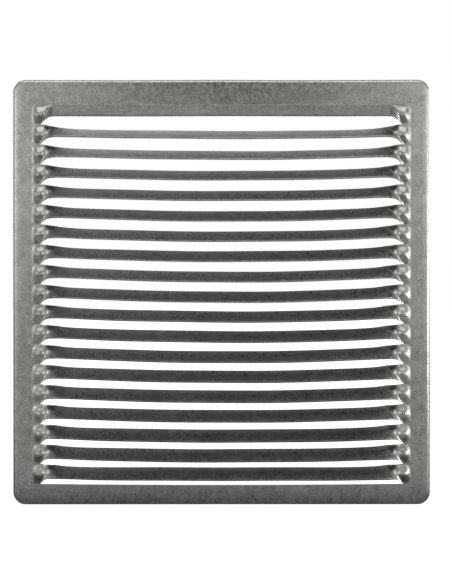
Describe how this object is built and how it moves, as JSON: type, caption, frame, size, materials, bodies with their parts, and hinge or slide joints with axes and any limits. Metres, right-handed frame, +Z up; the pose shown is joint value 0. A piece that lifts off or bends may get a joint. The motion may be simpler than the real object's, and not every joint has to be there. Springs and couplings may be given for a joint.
{
  "type": "queen excluder",
  "caption": "Flat pressed-metal excluder panel: a rimmed rectangular sheet whose field is cut and twisted into slanting blades with bee-width gaps, under one hinged-out hood.",
  "frame": {"origin": "middle of the bottom edge, on the plane of the rim's turned-back edge", "axes": "+X across to the right seen from the front, +Y out of the back, +Z up; the front faces -Y"},
  "size_m": [0.115, 0.0071, 0.1172],
  "materials": {
    "zinc_steel": "zinc-coated sheet steel, dull grey with a faint green cast, fine mottling and light handling marks"
  },
  "bodies": {
    "root": {"top_rail": "zinc_steel", "bottom_rail": "zinc_steel", "left_rail": "zinc_steel", "right_rail": "zinc_steel", "top_hood": "zinc_steel", "blade_01": "zinc_steel", "blade_02": "zinc_steel", "blade_03": "zinc_steel", "blade_04": "zinc_steel", "blade_05": "zinc_steel", "blade_06": "zinc_steel", "blade_07": "zinc_steel", "blade_08": "zinc_steel", "blade_09": "zinc_steel", "blade_10": "zinc_steel", "blade_11": "zinc_steel", "blade_12": "zinc_steel", "blade_13": "zinc_steel", "blade_14": "zinc_steel", "blade_15": "zinc_steel", "blade_16": "zinc_steel", "blade_17": "zinc_steel", "blade_18": "zinc_steel"}
  },
  "joints": []
}
